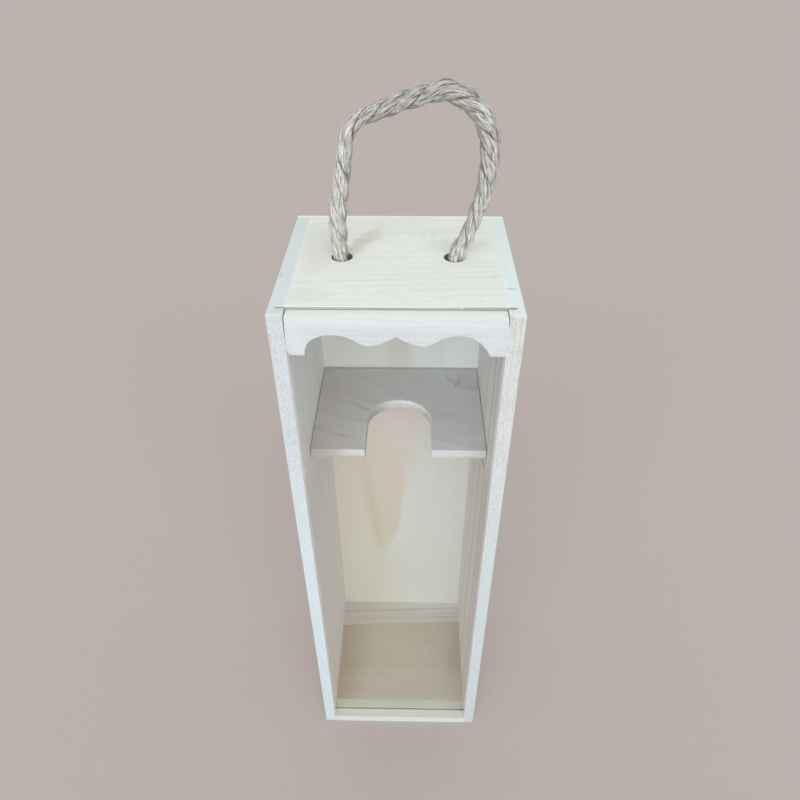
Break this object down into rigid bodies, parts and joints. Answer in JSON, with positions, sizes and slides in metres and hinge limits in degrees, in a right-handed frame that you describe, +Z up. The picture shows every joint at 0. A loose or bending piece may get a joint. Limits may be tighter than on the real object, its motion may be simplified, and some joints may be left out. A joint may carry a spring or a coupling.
{
  "type": "wine box",
  "caption": "Tall narrow wooden box for a wine bottle, with a clear sliding front pane, a scalloped valance, a notched neck shelf and a rope handle.",
  "frame": {"origin": "middle of the carcass's base, on the surface that the box stands on", "axes": "+Z up, the front with the clear pane faces -Y, +X to the right as seen from the front"},
  "size_m": [0.11, 0.102, 0.4337],
  "materials": {
    "side_wood": "bare sanded softwood, pale and a little grey",
    "end_wood": "bare sanded softwood, warm ivory",
    "floor_wood": "bare sanded softwood, tan",
    "shelf_wood": "bare sanded softwood, grey-brown with dark grain lines",
    "clear_acrylic": "clear, glossy, saw-cut edges",
    "jute_rope": "three-strand natural fibre, hairy",
    "steel_wire": "plain drawn wire"
  },
  "bodies": {
    "carcass": {"left_side_panel": "side_wood", "right_side_panel": "side_wood", "top_panel": "end_wood", "bottom_board": "floor_wood", "bottom_back_strip": "end_wood", "back_panel": "end_wood", "neck_shelf": "shelf_wood", "front_valance": "side_wood", "left_rope_knot": "jute_rope", "right_rope_knot": "jute_rope", "left_side_brads": "steel_wire", "right_side_brads": "steel_wire", "back_panel_brads": "steel_wire"},
    "pane": {"front_pane": "clear_acrylic"},
    "handle": {"rope_handle": "jute_rope"}
  },
  "joints": [
    {"name": "pane_slide", "type": "slide", "parent": "carcass", "child": "pane", "axis": [0, 0, 1], "range_m": [0, 0.36]},
    {"name": "handle_fold", "type": "hinge", "parent": "carcass", "child": "handle", "pos_m": [0, 0.0025, 0.3593], "axis": [1, 0, 0], "range_deg": [-80, 30]}
  ]
}
